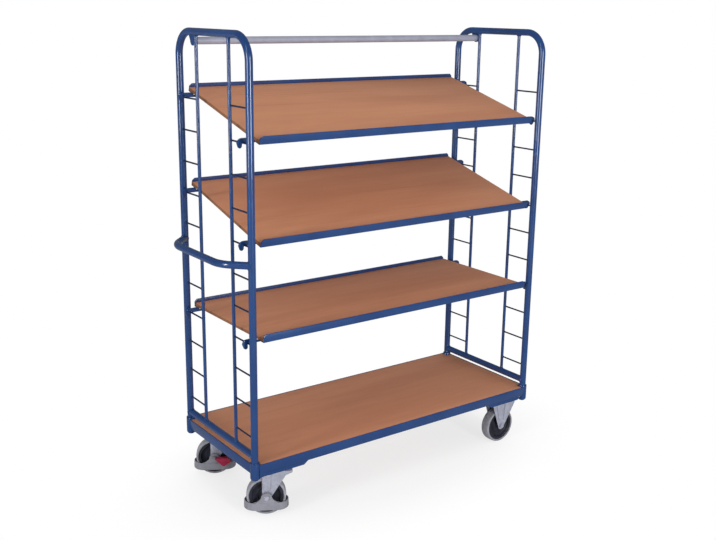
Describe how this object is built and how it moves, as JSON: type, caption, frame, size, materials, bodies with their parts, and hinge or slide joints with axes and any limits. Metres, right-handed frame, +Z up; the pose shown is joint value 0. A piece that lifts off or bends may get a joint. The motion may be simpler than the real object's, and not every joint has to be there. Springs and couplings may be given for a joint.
{
  "type": "shelf trolley",
  "caption": "Tall shelf trolley: tube end frames with ladder rungs, hook-on shelves that hang level or tilted, wooden deck, bowed push handle, braked swivel and fixed castors.",
  "frame": {"origin": "on the floor under the middle of the box that holds the whole trolley", "axes": "+X along the length away from the push handle, +Y to the back where the tilted shelves are high, +Z up"},
  "size_m": [1.3796, 0.521, 1.657],
  "materials": {
    "paint": "blue powder coat, slight orange peel",
    "board": "brown film-faced wood board",
    "zinc": "bright zinc plate",
    "hub": "black moulded plastic",
    "tyre": "grey rubber tread",
    "guard": "light grey moulded plastic",
    "pedal": "red moulded plastic"
  },
  "bodies": {
    "chassis": {"deck_board": "board", "base_rail_front": "paint", "base_rail_back": "paint", "base_end_rail_left": "paint", "base_end_rail_right": "paint", "castor_pan_left": "paint", "castor_pan_right": "paint", "deck_bearers": "paint", "corner_sockets": "paint", "post_end_caps": "paint", "clamp_screws": "zinc", "end_tube_left": "paint", "end_tube_right": "paint", "inner_bars_left": "paint", "inner_bars_right": "paint", "rungs_front_left": "paint", "rungs_back_left": "paint", "rungs_front_right": "paint", "rungs_back_right": "paint", "cross_bar_left": "paint", "cross_bar_right": "paint", "push_handle": "paint", "tie_tube": "zinc", "tie_brackets": "paint", "castor_top_plates": "zinc", "castor_bolts": "zinc", "fixed_front_fork": "zinc", "fixed_back_fork": "zinc", "fixed_axles": "zinc"},
    "shelf_top": {"shelf_top_board": "board", "shelf_top_front_rail": "paint", "shelf_top_back_rail": "paint", "shelf_top_end_bars": "paint", "shelf_top_hooks": "paint"},
    "shelf_middle": {"shelf_middle_board": "board", "shelf_middle_front_rail": "paint", "shelf_middle_back_rail": "paint", "shelf_middle_end_bars": "paint", "shelf_middle_hooks": "paint"},
    "shelf_lower": {"shelf_lower_board": "board", "shelf_lower_front_rail": "paint", "shelf_lower_back_rail": "paint", "shelf_lower_end_bars": "paint", "shelf_lower_hooks": "paint"},
    "swivel_front": {"swivel_front_fork": "zinc", "swivel_front_guard": "guard", "swivel_front_axle": "zinc"},
    "swivel_front_wheel": {"swivel_front_hub": "hub", "swivel_front_tyre": "tyre"},
    "swivel_front_brake": {"swivel_front_pedal": "pedal"},
    "fixed_front_wheel": {"fixed_front_hub": "hub", "fixed_front_tyre": "tyre"},
    "swivel_back": {"swivel_back_fork": "zinc", "swivel_back_guard": "guard", "swivel_back_axle": "zinc"},
    "swivel_back_wheel": {"swivel_back_hub": "hub", "swivel_back_tyre": "tyre"},
    "swivel_back_brake": {"swivel_back_pedal": "pedal"},
    "fixed_back_wheel": {"fixed_back_hub": "hub", "fixed_back_tyre": "tyre"}
  },
  "joints": [
    {"name": "shelf_top_lift", "type": "hinge", "parent": "chassis", "child": "shelf_top", "pos_m": [0.03275, 0.20502, 1.4235], "axis": [-1, 0, 0], "range_deg": [0, 11]},
    {"name": "shelf_middle_lift", "type": "hinge", "parent": "chassis", "child": "shelf_middle", "pos_m": [0.03275, 0.20502, 1.0935], "axis": [-1, 0, 0], "range_deg": [0, 11]},
    {"name": "shelf_lower_lift", "type": "hinge", "parent": "chassis", "child": "shelf_lower", "pos_m": [0.03275, 0.206, 0.6535], "axis": [-1, 0, 0], "range_deg": [0, 11]},
    {"name": "swivel_front_turn", "type": "hinge", "parent": "chassis", "child": "swivel_front", "pos_m": [-0.48425, -0.19, 0.16], "axis": [0, 0, 1], "continuous": true},
    {"name": "swivel_front_roll", "type": "hinge", "parent": "swivel_front", "child": "swivel_front_wheel", "pos_m": [-0.51889, -0.17, 0.07], "axis": [0.5, 0.866, 0], "continuous": true},
    {"name": "swivel_front_brake_press", "type": "hinge", "parent": "swivel_front", "child": "swivel_front_brake", "pos_m": [-0.51889, -0.17, 0.07], "axis": [0.5, 0.866, 0], "range_deg": [0, 12]},
    {"name": "fixed_front_roll", "type": "hinge", "parent": "chassis", "child": "fixed_front_wheel", "pos_m": [0.57675, -0.19, 0.07], "axis": [0, 1, 0], "continuous": true},
    {"name": "swivel_back_turn", "type": "hinge", "parent": "chassis", "child": "swivel_back", "pos_m": [-0.48425, 0.19, 0.16], "axis": [0, 0, 1], "continuous": true},
    {"name": "swivel_back_roll", "type": "hinge", "parent": "swivel_back", "child": "swivel_back_wheel", "pos_m": [-0.51889, 0.21, 0.07], "axis": [0.5, 0.866, 0], "continuous": true},
    {"name": "swivel_back_brake_press", "type": "hinge", "parent": "swivel_back", "child": "swivel_back_brake", "pos_m": [-0.51889, 0.21, 0.07], "axis": [0.5, 0.866, 0], "range_deg": [0, 12]},
    {"name": "fixed_back_roll", "type": "hinge", "parent": "chassis", "child": "fixed_back_wheel", "pos_m": [0.57675, 0.19, 0.07], "axis": [0, 1, 0], "continuous": true}
  ]
}
